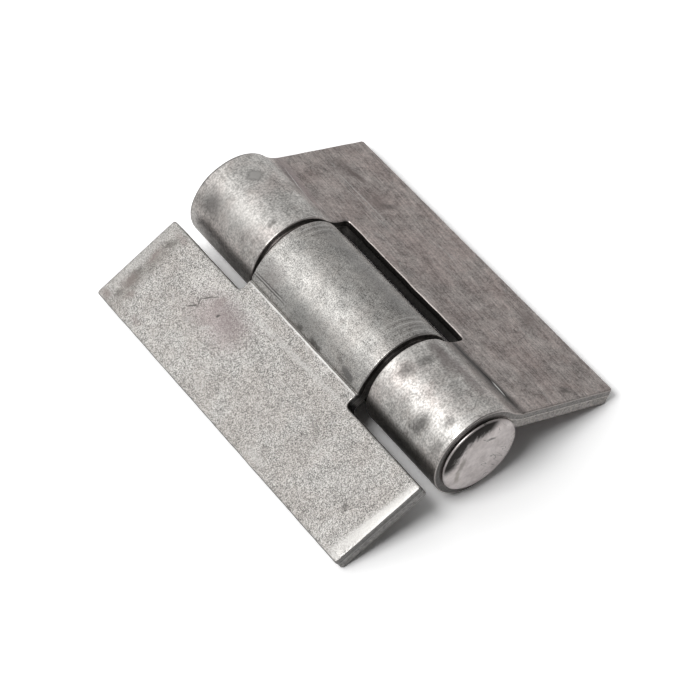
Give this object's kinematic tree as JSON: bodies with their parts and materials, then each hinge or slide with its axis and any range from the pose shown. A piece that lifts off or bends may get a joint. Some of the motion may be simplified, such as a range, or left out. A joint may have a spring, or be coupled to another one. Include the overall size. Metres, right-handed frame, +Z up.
{
  "type": "weld-on hinge",
  "caption": "Bare steel weld-on hinge: interlocking rolled-plate leaves turning on a thick pin whose ends are riveted over into flat round heads.",
  "frame": {"origin": "on the ground under the middle of the pin, at the centre of the footprint", "axes": "+Y along the pin away from the viewer of the picture, +X towards the leaf with the outer knuckles, +Z up from the surface it lies on"},
  "size_m": [0.0622, 0.0786, 0.0191],
  "materials": {
    "rolled_plate_dark": "bare mill steel, darker, streaked along the pin",
    "rolled_plate_light": "bare mill steel, lighter, fine sandy grain",
    "pin_steel": "bright hammered steel"
  },
  "bodies": {
    "fixed_leaf": {"two_knuckle_leaf": "rolled_plate_dark", "pin": "pin_steel"},
    "swinging_leaf": {"one_knuckle_leaf": "rolled_plate_light"}
  },
  "joints": [
    {"name": "leaf_swing", "type": "hinge", "parent": "fixed_leaf", "child": "swinging_leaf", "pos_m": [0, 0, 0.00958], "axis": [0, 1, 0], "range_deg": [-143, 162]}
  ]
}
